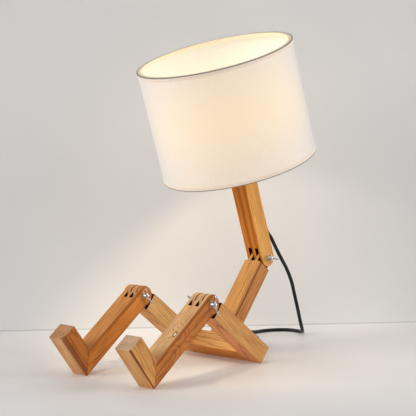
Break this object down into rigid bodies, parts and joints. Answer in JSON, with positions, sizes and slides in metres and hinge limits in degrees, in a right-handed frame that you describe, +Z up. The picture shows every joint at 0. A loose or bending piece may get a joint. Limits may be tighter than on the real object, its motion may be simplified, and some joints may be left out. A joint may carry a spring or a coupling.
{
  "type": "desk lamp",
  "caption": "Desk lamp built as a sitting wooden figure with a fabric drum shade for a head, posed at the knees and the neck by knuckle joints with wing nuts.",
  "frame": {"origin": "on the table, under the middle of the lamp's box without its cord", "axes": "+Z up; the figure faces -Y; its left side, with the wing nuts, is +X"},
  "size_m": [0.2208, 0.4518, 0.4544],
  "materials": {
    "oak_bar": "oiled, satin",
    "dowel_wood": "plain",
    "zinc_hardware": "bright zinc plated",
    "shade_wire": "white coated",
    "shade_linen": "plain weave",
    "shade_lining": "translucent sheet",
    "shade_tape": "plain weave",
    "holder_plastic": "moulded",
    "holder_ceramic": "unglazed",
    "contact_brass": "pressed",
    "bulb_opal": "opal, lit",
    "bulb_metal": "bright",
    "cord_pvc": "extruded, smooth",
    "tie_plastic": "ribbed band",
    "switch_plastic": "moulded",
    "plug_metal": "nickel plated"
  },
  "bodies": {
    "frame": {"seat_beam": "oak_bar", "left_thigh": "oak_bar", "right_thigh": "oak_bar", "seat_dowels": "dowel_wood", "torso": "oak_bar", "torso_dowels": "dowel_wood", "cord_drop": "cord_pvc", "switch_base": "switch_plastic", "switch_cover": "switch_plastic", "cord_run": "cord_pvc", "cord_coil": "cord_pvc", "coil_tie": "tie_plastic", "cord_tail": "cord_pvc", "plug_body": "cord_pvc", "plug_pins": "plug_metal"},
    "left_lower_leg": {"left_shin": "oak_bar", "left_foot": "oak_bar", "left_heel_dowels": "dowel_wood", "left_knee_bolt": "zinc_hardware", "left_knee_washers": "zinc_hardware"},
    "right_lower_leg": {"right_shin": "oak_bar", "right_foot": "oak_bar", "right_heel_dowels": "dowel_wood", "right_knee_bolt": "zinc_hardware", "right_knee_washers": "zinc_hardware"},
    "head": {"head_post": "oak_bar", "neck_bolt": "zinc_hardware", "neck_washers": "zinc_hardware", "strain_relief": "cord_pvc", "inner_lead": "cord_pvc", "holder_nipple": "zinc_hardware", "nipple_nut": "zinc_hardware", "holder_cap": "holder_plastic", "holder_shell": "holder_plastic", "holder_insert": "holder_ceramic", "screw_shell": "contact_brass", "centre_contact": "contact_brass", "shade_spider": "shade_wire", "bottom_ring": "shade_wire", "shade_ring_nut": "holder_plastic", "top_ring": "shade_wire", "shade_liner": "shade_lining", "shade_fabric": "shade_linen", "top_trim": "shade_tape", "bottom_trim": "shade_tape", "bulb_glass": "bulb_opal", "bulb_cap": "bulb_metal", "bulb_contact": "bulb_metal"},
    "left_wing_nut": {"left_knee_nut": "zinc_hardware"},
    "right_wing_nut": {"right_knee_nut": "zinc_hardware"},
    "neck_wing_nut": {"neck_nut": "zinc_hardware"},
    "rocker": {"switch_rocker": "switch_plastic"}
  },
  "joints": [
    {"name": "left_knee", "type": "hinge", "parent": "frame", "child": "left_lower_leg", "pos_m": [0.064, -0.05078, 0.09341], "axis": [1, 0, 0], "range_deg": [-60, 20]},
    {"name": "right_knee", "type": "hinge", "parent": "frame", "child": "right_lower_leg", "pos_m": [-0.064, -0.05078, 0.09341], "axis": [1, 0, 0], "range_deg": [-60, 20]},
    {"name": "neck", "type": "hinge", "parent": "frame", "child": "head", "pos_m": [0, 0.13475, 0.13104], "axis": [1, 0, 0], "range_deg": [-56, 35], "deforming": ["cord_drop"]},
    {"name": "left_nut_turn", "type": "hinge", "parent": "left_lower_leg", "child": "left_wing_nut", "pos_m": [0.0825, -0.05078, 0.09341], "axis": [1, 0, 0], "range_deg": [0, 180]},
    {"name": "right_nut_turn", "type": "hinge", "parent": "right_lower_leg", "child": "right_wing_nut", "pos_m": [-0.0455, -0.05078, 0.09341], "axis": [1, 0, 0], "range_deg": [0, 180]},
    {"name": "neck_nut_turn", "type": "hinge", "parent": "head", "child": "neck_wing_nut", "pos_m": [0.0185, 0.13475, 0.13104], "axis": [1, 0, 0], "range_deg": [0, 180]},
    {"name": "rocker_tilt", "type": "hinge", "parent": "frame", "child": "rocker", "pos_m": [-0.078, 0.147, 0.014], "axis": [1, 0, 0], "range_deg": [0, 14]}
  ]
}
